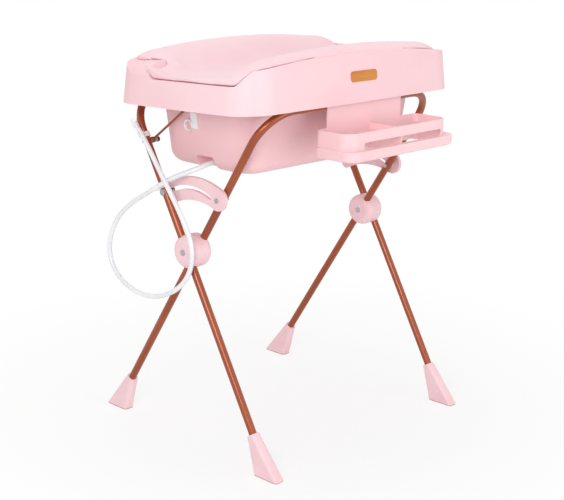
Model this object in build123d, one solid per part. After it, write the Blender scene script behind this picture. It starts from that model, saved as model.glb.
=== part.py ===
from build123d import *
import math
import os

os.makedirs("parts", exist_ok=True)

# Changing table with a bath on a folding cross-legged stand, in millimetres.
# X runs along the long side, the user stands at -Y, Z is up and the floor is Z = 0.
# The stand is drawn with its pivot line at Y = 0, and everything moves by centring_shift at the end.

# Clearances
running_clearance = 0.06
seat_clearance = 0.3
fit_clearance = 0.12
cut_overrun = 5.0

# Stand: two U-shaped tube frames crossed at a pivot on each side
tube_diameter = 19.0
tube_wall = 1.5
pivot_height = 493.5
rear_frame_half_width = 336.5
front_frame_half_width = 302.0
rear_lean = 29.6
front_lean = 32.8
bar_rise = 352.5
frame_corner_radius = 88.0
leg_end_height = 34.0

# Boots: wedge-shaped feet with a thin rubber sole
boot_height = 94.5
boot_collar_width = 27.0
boot_collar_corner = 12.0
sole_length = 76.0
sole_width = 30.0
sole_corner_radius = 9.0
sole_thickness = 2.5
sole_heel_offset = 15.0

# Hubs: two domed halves round each pivot
hub_radius = 41.0
hub_half_thickness = 31.2
hub_dome_radius = 17.0
hub_gap = 0.5
rivet_radius = 4.0
rivet_head_radius = 7.0
rivet_head_height = 2.2

# Slotted lock arcs between the leg planes
arc_thickness = 9.0
arc_slot_radius = 154.0
arc_slot_width = 9.6
arc_inner_radius = 124.5
arc_outer_radius = 181.0
arc_rear_overlap_angle = 7.0
arc_front_centre_radius = 166.0
arc_front_end_radius = 27.0
arc_screw_radius = 163.0
arc_screw_shank_radius = 3.0
arc_screw_head_radius = 6.0
arc_screw_head_height = 2.2
arc_nut_radius = 5.0
arc_nut_height = 4.0
arc_boss_radius = 8.0
arc_corner_radius = 12.0
fold_range = 54.0
guide_pin_radius = 4.5
guide_head_radius = 8.5
guide_head_height = 1.8

# Apron: the flared moulded rim of the bath, a little lower at the rear than at the front
apron_centre_y = -10.0
apron_half_length = 380.0
apron_half_width = 237.0
apron_drop_below_bar = 6.0
apron_end_rise = 90.5
apron_arch_rise = 28.0
apron_rear_drop = 16.0
apron_end_rounding = 56.0
apron_corner_radius = 90.0
apron_side_bow = 5.0
apron_flare_slope = 0.11
apron_wall = 3.5
notch_rise = 60.0
notch_centre_y = -57.0
notch_floor_half_width = 138.0
notch_top_half_width = 158.0
notch_corner_radius = 22.0
notch_start = 246.0
well_half_length = 312.0
well_half_width = 170.0
well_corner_radius = 82.0
well_side_bow = 1.0

# Bath basin
basin_depth = 206.2
basin_wall = 3.5
basin_taper = 26.0
basin_bottom_radius = 34.0
basin_flange_width = 16.0
basin_flange_thickness = 3.0
recess_width = 62.0
recess_height = 32.0
recess_depth = 44.0
recess_centre_y = -18.0
recess_corner_radius = 8.0

# Drain: a level outlet through the recess wall, with its nut, nozzle and plug
drain_y = -34.0
drain_axis_rise = 18.0
drain_body_radius = 9.5
drain_bore_radius = 6.5
drain_flange_radius = 13.0
drain_flange_thickness = 2.0
drain_nut_radius = 13.0
drain_nut_length = 6.0
drain_body_length = 9.0
nozzle_radius = 4.1
nozzle_bore_radius = 2.8
nozzle_length = 16.0
plug_radius = 6.2
plug_depth = 5.0
plug_cap_radius = 9.0
plug_cap_thickness = 2.5
plug_knob_radius = 3.0
plug_knob_length = 9.0

# Saddles under the apron that sit on the two top bars
saddle_length = 36.0
saddle_wrap_angle = 55.0
saddle_wall = 4.0
saddle_x = 205.0
saddle_web_width = 8.0
saddle_web_offset = 8.0

# Changing mat: two bolsters over the long sides and a floor that runs out into the notches
mat_rise = 15.0
mat_end_sink = 3.0
mat_floor_rise = 9.0
mat_sink = 13.7
mat_end_inset = 10.0
mat_body_half_length = 335.0
mat_body_centre_x = -10.0
mat_front_centre_x = -20.0
mat_front_half_length = 322.0
mat_rear_half_length = 326.0
mat_front_overhang = 0.5
mat_rear_y = 213.0
mat_body_corner = 66.0
mat_valley_y = -40.0
mat_edge_drop = 9.0
mat_end_taper = 42.0
mat_front_foot = 74.0
mat_front_crest = 166.0
mat_front_end_foot = 105.0
mat_front_end_crest = 158.0
mat_rear_foot = 96.0
mat_rear_crest = 222.0
mat_rear_end_foot = 60.0
mat_rear_end_crest = 142.0
mat_well_gap = 3.0
mat_notch_gap = 1.2
mat_section_count = 25
mat_point_count = 17

# Board fixed under the mat's sunken part
board_thickness = 3.0
board_half_length = 284.0
board_half_width = 142.0
board_corner = 62.0

# Accessory tray hooked over the front bar
tray_centre_x = 33.0
tray_length = 372.0
tray_depth = 104.0
tray_drop_below_bar = 49.0
tray_bin_height = 20.0
tray_floor_thickness = 3.0
tray_base_height = 25.0
tray_base_length = 394.0
tray_base_shift_x = 8.0
tray_base_overhang = 13.0
tray_base_edge_radius = 7.0
tray_wall = 3.0
tray_front_corner = 32.0
tray_back_corner = 14.0
tray_slot_length = 290.0
tray_slot_height = 17.0
tray_slot_shift_x = 12.0
tray_slot_corner = 6.0
tray_plate_length = 268.0
tray_plate_centre_x = 20.0
tray_plate_thickness = 3.0
tray_hook_length = 34.0
tray_hook_share = 0.33
tray_divider_share = 0.52
tray_divider_drop = 4.0

# Badge plate on the apron's front
badge_length = 94.0
badge_height = 25.0
badge_thickness = 1.6
badge_corner_radius = 8.0
badge_x = 6.0
badge_rise = 69.0
badge_gap = 0.05

# Stay rods and their bolts
stay_diameter = 6.0
stay_bolt_rise = 249.5
stay_tip_y = 20.0
stay_tip_drop = 7.3
stay_tip_reach = 7.0
stay_eye_radius = 7.5
stay_eye_thickness = 6.4
stay_bolt_radius = 3.0
stay_bolt_head_radius = 5.5
stay_bolt_head_height = 2.4
stay_shoulder_radius = 5.0
collar_radius = 6.0
collar_length = 8.4
cap_nut_radius = 6.6
cap_nut_length = 8.0
lug_wall = 3.0
lug_wrap_angle = 60.0

# Drain hose: a route of hand-chosen points outboard of the left legs, as (x, y, rise above the pivot)
hose_diameter = 12.0
hose_bore_diameter = 8.4
hose_first_run = 19.3
hose_bends = [
    (-314.0, -30.0, 208.5),
    (-335.0, -13.0, 197.5),
    (-349.0, 14.0, 185.5),
    (-354.5, 46.0, 169.5),
    (-357.5, 82.0, 148.5),
    (-360.0, 124.0, 123.5),
    (-362.0, 176.0, 93.5),
    (-362.0, 228.0, 50.5),
    (-362.0, 261.0, -4.5),
    (-362.0, 267.0, -55.5),
    (-362.0, 243.0, -97.5),
    (-362.0, 200.0, -122.5),
    (-362.0, 148.0, -133.5),
    (-362.0, 92.0, -129.5),
    (-362.0, 40.0, -109.5),
    (-362.0, -3.0, -82.5),
    (-362.0, -35.0, -44.5),
    (-363.0, -48.0, 0.5),
    (-365.0, -43.0, 43.5),
    (-367.0, -22.0, 83.5),
    (-368.0, 6.0, 123.5),
    (-368.0, 37.0, 162.5),
    (-367.0, 69.0, 200.5),
    (-365.0, 100.0, 237.5),
    (-363.0, 132.0, 271.5),
    (-362.0, 157.0, 293.5),
]
hose_run_share = 0.45
end_sleeve_radius = 7.4
end_sleeve_length = 9.0
end_ring_radius = 8.4
end_ring_bore_radius = 4.6
end_ring_length = 6.0
end_ring_lap = 3.5
end_ring_facing = (-0.78, -0.58, 0.24)
clip_width = 12.0
clip_wall = 2.4
clip_link_radius = 4.0
clip_opening_offset = 1.5
leg_clip_index = 6
end_clip_index = 26
leg_clip_opening = (0.0, 0.45, 0.89)
end_clip_opening = (0.0, -0.66, 0.75)

# Stow hook for the hose on the left end of the bath
stow_centre_y = 6.0
stow_drop = 16.0
stow_tab_width = 22.0
stow_tab_height = 38.0
stow_tab_thickness = 3.0
stow_ring_radius = 14.0
stow_ring_wire = 3.2
stow_ring_gap = 4.5
stow_ring_shift_y = 16.0
stow_ring_sweep = 290.0

# Values that follow from the driving ones
tube_radius = tube_diameter / 2
hose_radius = hose_diameter / 2
mid_plane_x = (rear_frame_half_width + front_frame_half_width) / 2
bar_height = pivot_height + bar_rise
apron_bottom = bar_height - apron_drop_below_bar
apron_end_height = apron_bottom + apron_end_rise
apron_arch_height = apron_end_height + apron_arch_rise
apron_reach = apron_half_length + apron_side_bow
apron_tilt = apron_rear_drop / (2 * apron_half_width)
apron_highest = apron_arch_height + apron_rear_drop
notch_height = apron_bottom + notch_rise
basin_top = notch_height - apron_wall - seat_clearance
basin_bottom = basin_top - basin_depth
drain_axis_height = basin_bottom + drain_axis_rise
recess_wall_x = -(well_half_length + apron_wall - basin_taper) + recess_depth
nozzle_end_x = recess_wall_x - drain_body_length - nozzle_length
notch_rear_y = notch_centre_y + notch_floor_half_width
mat_underside = notch_height - mat_sink
mat_body_inset = apron_flare_slope * (apron_arch_height - apron_bottom) - mat_front_overhang
mat_front_y = apron_centre_y - (apron_half_width - mat_body_inset) - apron_side_bow
tray_rim_height = bar_height - tray_drop_below_bar
tray_floor_height = tray_rim_height - tray_bin_height
tray_base_top = tray_floor_height - tray_floor_thickness - tray_slot_height
tray_bottom = tray_base_top - tray_base_height
badge_z = apron_bottom + badge_rise
stay_bolt_height = pivot_height + stay_bolt_rise
stay_tip_height = apron_bottom - stay_tip_drop
stow_top = apron_bottom - stow_drop
hose_start_x = nozzle_end_x - seat_clearance
hose_route = [
    (hose_start_x, drain_y, drain_axis_height),
    (hose_start_x - hose_first_run, drain_y, drain_axis_height),
    *[(x, y, pivot_height + rise) for x, y, rise in hose_bends],
]


# Placing helpers


def arc_point(radius, angle):
    """(y, z) at a radius from the pivot line. Positive angles lie forwards of the vertical."""
    turn = math.radians(angle)
    return -radius * math.sin(turn), pivot_height + radius * math.cos(turn)


def leg_y(lean, height):
    """Y of a leg's axis at a height. A positive lean carries its top forwards."""
    return -(height - pivot_height) * math.tan(math.radians(lean))


def leg_plane(lean):
    """Plane of one U-frame: X across, local Y up along the legs, origin on the pivot line."""
    turn = math.radians(lean)
    z_dir = (0, -math.cos(turn), -math.sin(turn))
    return Plane(origin=(0, 0, pivot_height), x_dir=(1, 0, 0), z_dir=z_dir)


def side_plane(x):
    """Plane across X at a place, with local X along world Y and local Y along world Z."""
    return Plane(origin=(x, 0, 0), x_dir=(0, 1, 0), z_dir=(1, 0, 0))


def prism_x(face, x_low, x_high):
    """Solid from a face drawn in (y, z), between two places along X."""
    return extrude(side_plane(x_low) * face, x_high - x_low)


def rod_x(radius, x_low, x_high, centre):
    """Round bar along X through a (y, z) centre."""
    return prism_x(Pos(centre[0], centre[1]) * Circle(radius), x_low, x_high)


def rod_between(start, end, radius):
    """Round bar between two points."""
    axis = Vector(*end) - Vector(*start)
    return extrude(Plane(origin=start, z_dir=axis.normalized()) * Circle(radius), axis.length)


def other_side(shape):
    """The copy on the other side, mirrored across the middle of the length."""
    return mirror(shape, Plane.YZ)


def rounded_plan(half_x, half_y, corner, height, bow=apron_side_bow):
    """Rounded rectangle with slightly bowed sides, as a face at a height over the bath's centre."""
    corners = [(half_x, -half_y), (half_x, half_y), (-half_x, half_y), (-half_x, -half_y)]
    middles = [(half_x + bow, 0), (0, half_y + bow), (-half_x - bow, 0), (0, -half_y - bow)]
    sides = [
        ThreePointArc(corners[i], middles[i], corners[(i + 1) % len(corners)])
        for i in range(len(corners))
    ]
    face = make_face(sides)
    return Pos(0, apron_centre_y, height) * fillet(face.vertices(), corner)


# Stand

rear_pin_centre = arc_point(arc_slot_radius, -rear_lean)
arc_screw_centre = arc_point(arc_screw_radius, front_lean)
stay_bolt_centre = (leg_y(-rear_lean, stay_bolt_height), stay_bolt_height)


def frame_tube(lean, half_width, hole_centres):
    """Bent steel tube of one U-frame, drilled across both legs."""
    scale_up = 1 / math.cos(math.radians(lean))
    top = (bar_height - pivot_height) * scale_up
    low = (leg_end_height - pivot_height) * scale_up
    points = [(-half_width, low), (-half_width, top), (half_width, top), (half_width, low)]
    path = leg_plane(lean) * FilletPolyline(*points, radius=frame_corner_radius)
    section = Circle(tube_radius) - Circle(tube_radius - tube_wall)
    tube = sweep(Plane(origin=path @ 0, z_dir=path % 0) * section, path=path)
    reach = half_width + tube_diameter
    for radius, centre in hole_centres:
        hole = rod_x(radius + running_clearance, half_width - tube_diameter, reach, centre)
        tube = tube - hole - other_side(hole)
    return tube


def hub_half(half_width, lean, inner_x, outer_x, domed_outside):
    """One domed half of a right-hand hub, bored for its leg and for the rivet."""
    centre = (0, pivot_height)
    body = rod_x(hub_radius, inner_x, outer_x, centre)
    dome_x = outer_x if domed_outside else inner_x
    rim = body.edges().filter_by(GeomType.CIRCLE).sort_by(lambda e: abs(e.center().X - dome_x))[0]
    body = fillet(rim, hub_dome_radius)
    foot_y, head_y = leg_y(lean, 0), leg_y(lean, 2 * pivot_height)
    foot, head = (half_width, foot_y, 0), (half_width, head_y, 2 * pivot_height)
    leg_bore = rod_between(foot, head, tube_radius + fit_clearance)
    bore_low, bore_high = inner_x - cut_overrun, outer_x + cut_overrun
    return body - leg_bore - rod_x(rivet_radius + running_clearance, bore_low, bore_high, centre)


def pivot_rivet():
    """Headed rivet through both halves of the right-hand hub."""
    centre = (0, pivot_height)
    half_hub = hub_gap / 2 + hub_half_thickness
    low, high = mid_plane_x - half_hub, mid_plane_x + half_hub
    low, high = low - seat_clearance, high + fit_clearance
    shank = rod_x(rivet_radius, low, high, centre)
    inner_head = rod_x(rivet_head_radius, low - rivet_head_height, low, centre)
    outer_head = rod_x(rivet_head_radius, high, high + rivet_head_height, centre)
    return shank + inner_head + outer_head


def lock_arc():
    """Right-hand slotted arc, concentric with the pivot and screwed to the front frame's leg."""
    rear_angle = -rear_lean - arc_rear_overlap_angle
    front_inner_radius = arc_front_centre_radius - arc_front_end_radius
    front_outer_radius = arc_front_centre_radius + arc_front_end_radius
    inner_start = arc_point(arc_inner_radius, rear_angle)
    inner_end = arc_point(front_inner_radius, front_lean)
    outer_start = arc_point(arc_outer_radius, rear_angle)
    outer_end = arc_point(front_outer_radius, front_lean)
    end_middle_angle = front_lean + math.degrees(arc_front_end_radius / arc_front_centre_radius)
    outline = make_face(
        [
            ThreePointArc(inner_start, arc_point(arc_inner_radius, 0), inner_end),
            ThreePointArc(inner_end, arc_point(arc_front_centre_radius, end_middle_angle), outer_end),
            ThreePointArc(outer_end, arc_point(arc_outer_radius, 0), outer_start),
            Line(outer_start, inner_start),
        ]
    )
    rear_corners = outline.vertices().sort_by(Axis.X)[-2:]
    outline = fillet(rear_corners, arc_corner_radius)
    half_slot = arc_slot_width / 2
    slot_front_angle = -rear_lean + fold_range
    slot = make_face(
        [
            ThreePointArc(
                arc_point(arc_slot_radius - half_slot, -rear_lean),
                arc_point(arc_slot_radius - half_slot, 0),
                arc_point(arc_slot_radius - half_slot, slot_front_angle),
            ),
            Line(
                arc_point(arc_slot_radius - half_slot, slot_front_angle),
                arc_point(arc_slot_radius + half_slot, slot_front_angle),
            ),
            ThreePointArc(
                arc_point(arc_slot_radius + half_slot, slot_front_angle),
                arc_point(arc_slot_radius + half_slot, 0),
                arc_point(arc_slot_radius + half_slot, -rear_lean),
            ),
            Line(
                arc_point(arc_slot_radius + half_slot, -rear_lean),
                arc_point(arc_slot_radius - half_slot, -rear_lean),
            ),
        ]
    )
    rear_end = Pos(*rear_pin_centre) * Circle(half_slot)
    front_end = Pos(*arc_point(arc_slot_radius, slot_front_angle)) * Circle(half_slot)
    plate_low = mid_plane_x - arc_thickness / 2
    plate_high = mid_plane_x + arc_thickness / 2
    plate = prism_x(outline, plate_low, plate_high)
    boss_low = front_frame_half_width + tube_radius + fit_clearance
    boss = rod_x(arc_boss_radius, boss_low, plate_low, arc_screw_centre)
    cut_low, cut_high = boss_low - cut_overrun, plate_high + cut_overrun
    slot_cut = prism_x(slot, cut_low, cut_high) + prism_x(rear_end, cut_low, cut_high)
    slot_cut = slot_cut + prism_x(front_end, cut_low, cut_high)
    screw_hole = rod_x(arc_screw_shank_radius + fit_clearance, cut_low, cut_high, arc_screw_centre)
    return plate + boss - slot_cut - screw_hole


def lock_arc_screw():
    """Screw and nut that hold the right-hand arc to its leg."""
    head_low = mid_plane_x + arc_thickness / 2 + fit_clearance
    nut_high = front_frame_half_width - tube_radius - fit_clearance
    shank = rod_x(arc_screw_shank_radius, nut_high - arc_nut_height, head_low, arc_screw_centre)
    head = rod_x(arc_screw_head_radius, head_low, head_low + arc_screw_head_height, arc_screw_centre)
    nut = rod_x(arc_nut_radius, nut_high - arc_nut_height, nut_high, arc_screw_centre)
    return shank + head + nut


def guide_pin():
    """Headed pin of the right-hand rear-frame leg that runs in the arc's slot."""
    outside = rear_frame_half_width + tube_radius + fit_clearance
    inside = mid_plane_x - arc_thickness / 2 - seat_clearance
    low, high = inside - guide_head_height, outside + guide_head_height
    shank = rod_x(guide_pin_radius, low, high, rear_pin_centre)
    outer_head = rod_x(guide_head_radius, outside, high, rear_pin_centre)
    inner_head = rod_x(guide_head_radius, low, inside, rear_pin_centre)
    return shank + outer_head + inner_head


def boot(lean, half_width):
    """Boot and sole of one right-hand leg. A positive lean puts the boot at the rear."""
    slope = math.tan(math.radians(abs(lean)))
    outward = math.copysign(1, lean)
    entry_y = leg_y(lean, boot_height)
    sole_y = entry_y + outward * (sole_heel_offset + sole_length / 2)
    leg_direction = (0, -outward * slope, 1)
    collar_face = RectangleRounded(boot_collar_width, boot_collar_width, boot_collar_corner)
    sole_face = RectangleRounded(sole_width, sole_length, sole_corner_radius)
    collar_plane = Plane(
        origin=(half_width, entry_y, boot_height), x_dir=(1, 0, 0), z_dir=leg_direction
    )
    body = loft([Pos(half_width, sole_y, sole_thickness) * sole_face, collar_plane * collar_face])
    bore_start = (half_width, leg_y(lean, leg_end_height), leg_end_height)
    bore_end = (half_width, leg_y(lean, 2 * boot_height), 2 * boot_height)
    body = body - rod_between(bore_start, bore_end, tube_radius + fit_clearance)
    sole = extrude(Pos(half_width, sole_y, 0) * sole_face, sole_thickness)
    return body, sole


# Bath


def arch_body(offset, bottom):
    """Everything between a bottom height and the apron's arched top raised by an offset."""
    reach = apron_reach + offset
    low_z = bottom - apron_bottom
    end_z = apron_end_height - apron_bottom + offset
    middle_z = apron_arch_height - apron_bottom + offset
    half_depth = apron_half_width + 2 * cut_overrun
    origin = (0, apron_centre_y - half_depth, apron_bottom + half_depth * apron_tilt)
    front = Plane(origin=origin, x_dir=(1, 0, 0), z_dir=(0, -1, apron_tilt))
    profile = make_face(
        [
            Line((-reach, low_z), (reach, low_z)),
            Line((reach, low_z), (reach, end_z)),
            ThreePointArc((reach, end_z), (0, middle_z), (-reach, end_z)),
            Line((-reach, end_z), (-reach, low_z)),
        ]
    )
    profile = fillet(profile.vertices().sort_by(Axis.Y)[-2:], apron_end_rounding + offset)
    return extrude(front * profile, -2 * half_depth)


def notch_floor(y):
    """Height of the notches' floor, which rises a little to the front."""
    return notch_height + apron_tilt * (notch_rear_y - y)


def notch_cut(offset):
    """The two end notches, sunk and widened by an offset."""
    floor_half = notch_floor_half_width + offset
    spread = (notch_top_half_width - notch_floor_half_width) / (apron_end_height - notch_height)
    top_half = floor_half + spread * (apron_highest - notch_height + offset)
    front_y, rear_y = notch_centre_y - floor_half, notch_centre_y + floor_half
    points = [
        (front_y, notch_floor(front_y) - offset),
        (rear_y, notch_floor(rear_y) - offset),
        (notch_centre_y + top_half, apron_highest),
        (notch_centre_y - top_half, apron_highest),
    ]
    face = make_face(Polyline(*points, close=True))
    face = fillet(face.vertices().sort_by(Axis.Y)[:2], notch_corner_radius)
    cut = prism_x(face, notch_start - offset, apron_reach + cut_overrun)
    return cut + other_side(cut)


def apron_form(inset, notch_offset, bottom):
    """Flared solid form of the apron, drawn in by an inset, with its notches sunk by an offset."""
    low_z = bottom - apron_rear_drop
    sizes = []
    for height in (low_z, apron_highest):
        draw_in = inset + apron_flare_slope * (height - apron_bottom)
        half_x, half_y = apron_half_length - draw_in, apron_half_width - draw_in
        sizes.append(rounded_plan(half_x, half_y, apron_corner_radius - draw_in, height))
    return (loft(sizes) & arch_body(-inset, bottom)) - notch_cut(notch_offset)


def well_plan(growth, height):
    """Plan of the bath opening at a height, grown by a distance."""
    half_x, half_y = well_half_length + growth, well_half_width + growth
    return rounded_plan(half_x, half_y, well_corner_radius + growth, height, well_side_bow)


def well_block(growth, low, high):
    """Upright block on the plan of the bath opening."""
    return extrude(well_plan(growth, low), high - low)


def apron():
    """Moulded apron: flared outer wall, arched deck, end notches and the wall of the well."""
    collar = well_block(apron_wall, notch_height - apron_wall, apron_highest)
    outer = apron_form(0, 0, apron_bottom)
    hollow = apron_form(apron_wall, apron_wall, apron_bottom - cut_overrun) - collar
    return outer - hollow - well_block(0, apron_bottom - apron_rear_drop, apron_highest)


def basin_form(inset, low, high):
    """Tapered solid form of the basin between two heights."""

    def plan_at(height):
        share = (basin_top - height) / (basin_top - basin_bottom)
        return well_plan(apron_wall - basin_taper * share - inset, height)

    return loft([plan_at(low), plan_at(high)])


def recess_block(growth):
    """Recess in the left end of the basin's underside, grown by a wall thickness."""
    end_x = -(well_half_length + apron_wall - basin_taper)
    inner_x = end_x + recess_depth + growth
    half = recess_width / 2 + growth
    tall = recess_height + growth + cut_overrun
    face = RectangleRounded(2 * half, tall, recess_corner_radius)
    face = Pos(recess_centre_y, basin_bottom + recess_height + growth - tall / 2) * face
    return prism_x(face, end_x - basin_taper - cut_overrun, inner_x)


def basin():
    """Moulded bath basin with its flange, rounded bottom edge and drain recess."""
    outer = basin_form(0, basin_bottom, basin_top - basin_flange_thickness)
    outer = fillet(outer.edges().group_by(Axis.Z)[0], basin_bottom_radius)
    inner = basin_form(basin_wall, basin_bottom + basin_wall, basin_top - basin_flange_thickness)
    inner = fillet(inner.edges().group_by(Axis.Z)[0], basin_bottom_radius - basin_wall)
    flange_low = basin_top - basin_flange_thickness
    flange = well_block(basin_flange_width, flange_low, basin_top)
    mouth = well_block(0, flange_low - basin_wall, basin_top + cut_overrun)
    shell = outer - recess_block(0) - (inner - recess_block(basin_wall)) + flange - mouth
    bore = rod_x(
        drain_body_radius + fit_clearance,
        recess_wall_x - cut_overrun,
        recess_wall_x + basin_wall + cut_overrun,
        (drain_y, drain_axis_height),
    )
    return shell - bore


def drain_fitting():
    """Flanged outlet through the recess wall, ending in the hose nozzle."""
    centre = (drain_y, drain_axis_height)
    inside = recess_wall_x + basin_wall + fit_clearance
    body_end = recess_wall_x - drain_body_length
    nozzle_end = body_end - nozzle_length
    flange = rod_x(drain_flange_radius, inside, inside + drain_flange_thickness, centre)
    body = rod_x(drain_body_radius, body_end, inside, centre)
    nozzle = rod_x(nozzle_radius, nozzle_end, body_end, centre)
    bore = rod_x(drain_bore_radius, body_end + drain_flange_thickness, inside + cut_overrun, centre)
    small_bore = rod_x(nozzle_bore_radius, nozzle_end - cut_overrun, inside, centre)
    return flange + body + nozzle - bore - small_bore


def drain_nut():
    """Six-sided nut on the outlet's body, outside the recess wall."""
    face = Pos(drain_y, drain_axis_height) * (
        RegularPolygon(drain_nut_radius, 6) - Circle(drain_body_radius + fit_clearance)
    )
    high = recess_wall_x - fit_clearance
    return prism_x(face, high - drain_nut_length, high)


def drain_plug():
    """Plug pushed into the outlet from inside the bath."""
    centre = (drain_y, drain_axis_height)
    seat = recess_wall_x + basin_wall + fit_clearance + drain_flange_thickness + seat_clearance
    stem = rod_x(plug_radius, seat - plug_depth, seat, centre)
    cap = rod_x(plug_cap_radius, seat, seat + plug_cap_thickness, centre)
    knob_low = seat + plug_cap_thickness
    knob = rod_x(plug_knob_radius, knob_low, knob_low + plug_knob_length, centre)
    return stem + cap + fillet(knob.edges().sort_by(Axis.X)[-1], plug_knob_radius / 2)


def saddle(lean, side_sign):
    """Half-round saddle under the deck that sits on a top bar."""
    bar_y = leg_y(lean, bar_height)
    inner_radius = tube_radius + seat_clearance
    outer_radius = inner_radius + saddle_wall
    wrap = math.radians(saddle_wrap_angle)
    outer_y, outer_z = outer_radius * math.sin(wrap), outer_radius * math.cos(wrap)
    inner_y, inner_z = inner_radius * math.sin(wrap), inner_radius * math.cos(wrap)
    cup = make_face(
        [
            ThreePointArc((-outer_y, outer_z), (0, outer_radius), (outer_y, outer_z)),
            Line((outer_y, outer_z), (inner_y, inner_z)),
            ThreePointArc((inner_y, inner_z), (0, inner_radius), (-inner_y, inner_z)),
            Line((-inner_y, inner_z), (-outer_y, outer_z)),
        ]
    )
    web_height = apron_arch_height - bar_height
    inboard = -side_sign * saddle_web_offset
    web_middle = outer_radius + (web_height - saddle_wall) / 2
    web = Pos(inboard, web_middle) * Rectangle(saddle_web_width, web_height)
    low, high = saddle_x - saddle_length / 2, saddle_x + saddle_length / 2
    block = prism_x(Pos(bar_y, bar_height) * (cup + web), low, high)
    return block & arch_body(-apron_wall - seat_clearance, apron_bottom)


# Mat


def mat_height(x, y):
    """Height of the mat's top over a place in plan."""
    deck = apron_arch_height - apron_arch_rise * (x / apron_reach) ** 2
    deck = deck - apron_tilt * (y - apron_centre_y)
    end_share = min(abs(x) / (apron_half_length - mat_end_inset), 1) ** 4
    if y > mat_valley_y:
        past_x = abs(x) - mat_rear_half_length
        across, edge = y - mat_valley_y, mat_rear_y - mat_valley_y
        foot = mat_rear_foot + (mat_rear_end_foot - mat_rear_foot) * end_share
        crest = mat_rear_crest + (mat_rear_end_crest - mat_rear_crest) * end_share
    else:
        past_x = abs(x - mat_front_centre_x) - mat_front_half_length
        across, edge = mat_valley_y - y, mat_valley_y - mat_front_y
        foot = mat_front_foot + (mat_front_end_foot - mat_front_foot) * end_share
        crest = mat_front_crest + (mat_front_end_crest - mat_front_crest) * end_share
    climb = min(max((across - foot) / (crest - foot), 0), 1)
    climb_share = climb * climb * (1 + 2 * (1 - climb))
    past_share = max(across - crest, 0) / (edge - crest)
    taper_share = min(max(past_x / mat_end_taper + 1, 0), 1) ** 2
    top = deck + mat_rise - (mat_rise + mat_end_sink) * taper_share
    top = top - mat_edge_drop * past_share**2 * (1 - taper_share)
    floor = notch_floor(y) + mat_floor_rise
    return floor + (top - floor) * climb_share


def mat_section(x):
    """One cross-section of the mat and of everything under it, at a place along the length."""
    low_y, high_y = mat_front_y - cut_overrun, mat_rear_y + cut_overrun
    step = (high_y - low_y) / (mat_point_count - 1)
    tops = [(low_y + i * step, mat_height(x, low_y + i * step)) for i in range(mat_point_count)]
    corners = [tops[-1], (high_y, basin_bottom), (low_y, basin_bottom), tops[0]]
    return side_plane(x) * make_face([Spline(*tops), Polyline(*corners)])


def mat_cushion():
    """Padded contoured mat that rests on the apron's deck and sinks into the well and notches."""
    x_step = 2 * apron_reach / (mat_section_count - 1)
    under_top = loft([mat_section(i * x_step - apron_reach) for i in range(mat_section_count)])
    half_x, half_y = apron_half_length - mat_body_inset, apron_half_width - mat_body_inset
    body_plan = rounded_plan(half_x, half_y, apron_corner_radius - mat_body_inset, 0)
    body_depth = mat_rear_y - mat_front_y + 2 * mat_body_corner
    body_plan = body_plan & Pos(mat_body_centre_x, mat_rear_y - body_depth / 2) * RectangleRounded(
        2 * mat_body_half_length, body_depth, mat_body_corner
    )
    half_x, half_y = apron_half_length - mat_end_inset, apron_half_width - mat_end_inset
    tongue_plan = rounded_plan(half_x, half_y, apron_corner_radius - mat_end_inset, 0)
    tongue_plan = tongue_plan & Pos(0, notch_centre_y) * Rectangle(
        2 * apron_half_length, 2 * notch_top_half_width
    )
    plan = Pos(0, 0, mat_underside) * (body_plan + tongue_plan)
    pad = extrude(plan, apron_highest + mat_rise - mat_underside) & under_top
    well = well_block(-mat_well_gap, basin_bottom, apron_highest)
    pad = pad - (apron_form(-seat_clearance, -mat_notch_gap, apron_bottom) - well)
    return max(pad.solids(), key=lambda s: s.volume)


def mat_board():
    """Flat board that stiffens the mat's sunken part from below."""
    plan = RectangleRounded(2 * board_half_length, 2 * board_half_width, board_corner)
    low_z = mat_underside - seat_clearance - board_thickness
    return extrude(Pos(0, apron_centre_y, low_z) * plan, board_thickness)


# Accessory tray


def tray_plan(length, centre_x, front_y, back_y, height):
    """Plan of the tray at a height: generous corners in front, tight ones behind."""
    depth = back_y - front_y
    face = Pos(centre_x, (front_y + back_y) / 2, height) * Rectangle(length, depth)
    corners = face.vertices().sort_by(Axis.Y)
    face = fillet(corners[:2], tray_front_corner)
    return fillet(face.vertices().sort_by(Axis.Y)[-2:], tray_back_corner)


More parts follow.
